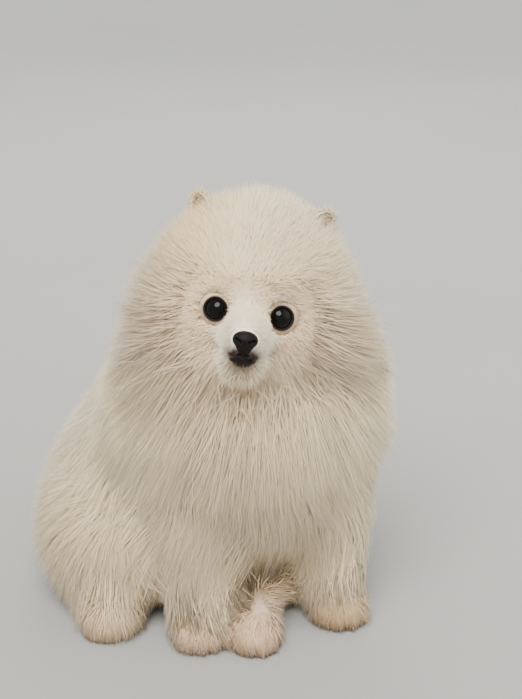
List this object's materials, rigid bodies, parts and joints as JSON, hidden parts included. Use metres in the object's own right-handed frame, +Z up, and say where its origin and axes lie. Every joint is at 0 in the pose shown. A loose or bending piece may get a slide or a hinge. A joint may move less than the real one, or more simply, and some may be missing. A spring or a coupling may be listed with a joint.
{
  "type": "pomeranian dog",
  "caption": "Life-size still model of a cream pomeranian sitting on the floor, coat built as overlapping locks, face turned towards the viewer.",
  "frame": {"origin": "on the floor under the middle of the dog's box", "axes": "+Z up, the chest faces -Y, the dog's left side is +X"},
  "size_m": [0.224, 0.2452, 0.2869],
  "materials": {
    "cream_coat": "soft long double coat",
    "tan_coat": "soft short fur, tan cream",
    "paw_coat": "short fur over pinkish skin",
    "dark_eye": "wet and glossy",
    "nose_leather": "pebbled, moist",
    "claw_horn": "satin horn"
  },
  "bodies": {
    "root": {"head": "cream_coat", "neck": "cream_coat", "torso": "cream_coat", "tail": "cream_coat", "ear_left": "tan_coat", "ear_right": "tan_coat", "eye_left": "dark_eye", "eye_right": "dark_eye", "nose": "nose_leather", "foreleg_left": "cream_coat", "foreleg_right": "cream_coat", "hindleg_left": "cream_coat", "hindleg_right": "cream_coat", "forepaw_left": "paw_coat", "forepaw_right": "paw_coat", "hindpaw_left": "paw_coat", "hindpaw_right": "paw_coat", "foreclaw_left_1": "claw_horn", "foreclaw_left_2": "claw_horn", "foreclaw_left_3": "claw_horn", "foreclaw_left_4": "claw_horn", "foreclaw_right_1": "claw_horn", "foreclaw_right_2": "claw_horn", "foreclaw_right_3": "claw_horn", "foreclaw_right_4": "claw_horn", "hindclaw_left_1": "claw_horn", "hindclaw_left_2": "claw_horn", "hindclaw_left_3": "claw_horn", "hindclaw_left_4": "claw_horn", "hindclaw_right_1": "claw_horn", "hindclaw_right_2": "claw_horn", "hindclaw_right_3": "claw_horn", "hindclaw_right_4": "claw_horn"}
  },
  "joints": []
}
